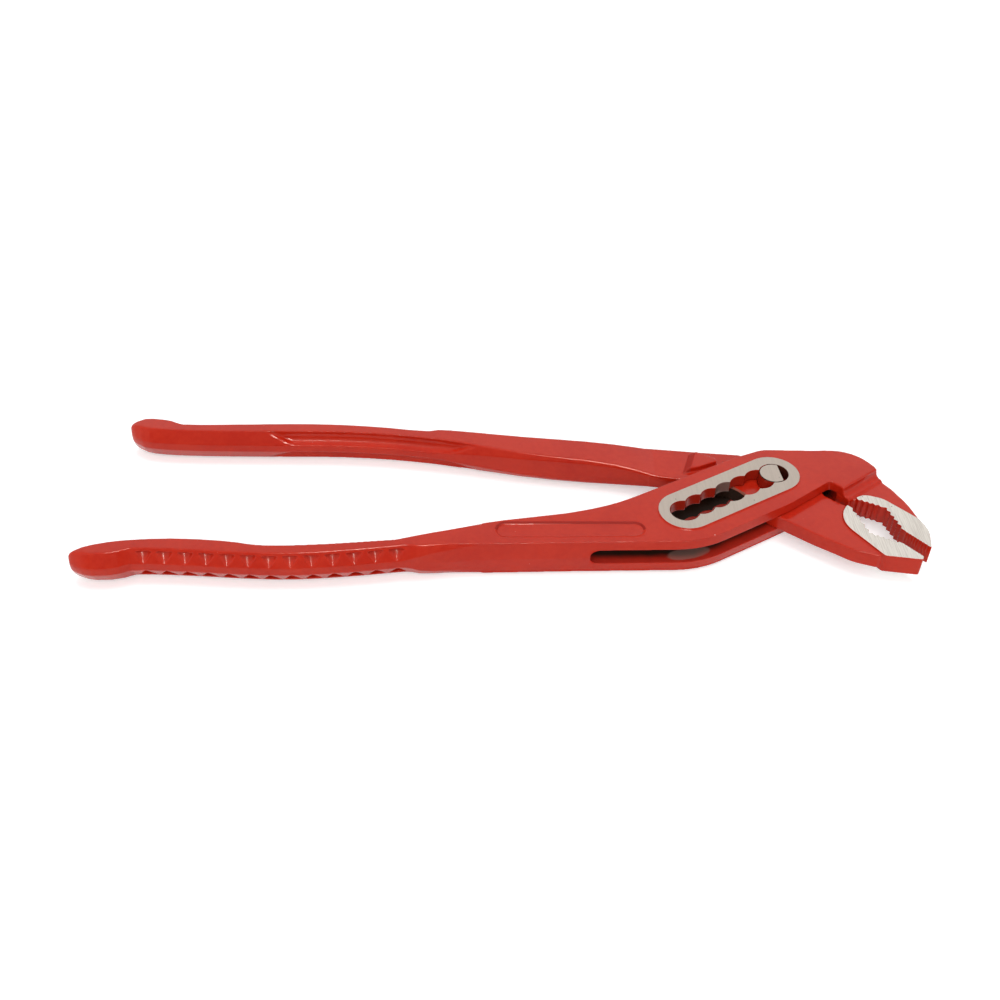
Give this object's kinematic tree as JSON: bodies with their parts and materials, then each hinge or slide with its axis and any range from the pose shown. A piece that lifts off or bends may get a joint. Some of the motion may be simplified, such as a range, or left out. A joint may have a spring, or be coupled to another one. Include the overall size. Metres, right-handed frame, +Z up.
{
  "type": "water pump pliers",
  "caption": "Adjustable water pump pliers: a box lever with a lobed slot, a through lever and a flatted joint pin that sets the jaw opening.",
  "frame": {"origin": "centre of the bounding box's bottom face, with the pliers lying on the ground pads of the box joint and the jaws almost shut", "axes": "+X along the pliers towards the jaws, +Y across them towards the through lever's handle, +Z up out of the face with the recessed panel"},
  "size_m": [0.2396, 0.0672, 0.0122],
  "materials": {
    "red_lacquer": "glossy red lacquer dipped over forged steel, ground bare on the pads and jaws",
    "ground_steel": "ground steel with fine grinding lines"
  },
  "bodies": {
    "box_lever": {"box_lever": "red_lacquer"},
    "joint_pin": {"joint_pin": "ground_steel"},
    "through_lever": {"through_lever": "red_lacquer"}
  },
  "joints": [
    {"name": "jaw_adjust", "type": "slide", "parent": "box_lever", "child": "joint_pin", "axis": [-0.859, -0.512, 0], "range_m": [0, 0.033]},
    {"name": "handle_pivot", "type": "hinge", "parent": "joint_pin", "child": "through_lever", "pos_m": [0.07979, 0.00256, 0.0061], "axis": [0, 0, -1], "range_deg": [-4.5, 64]}
  ]
}
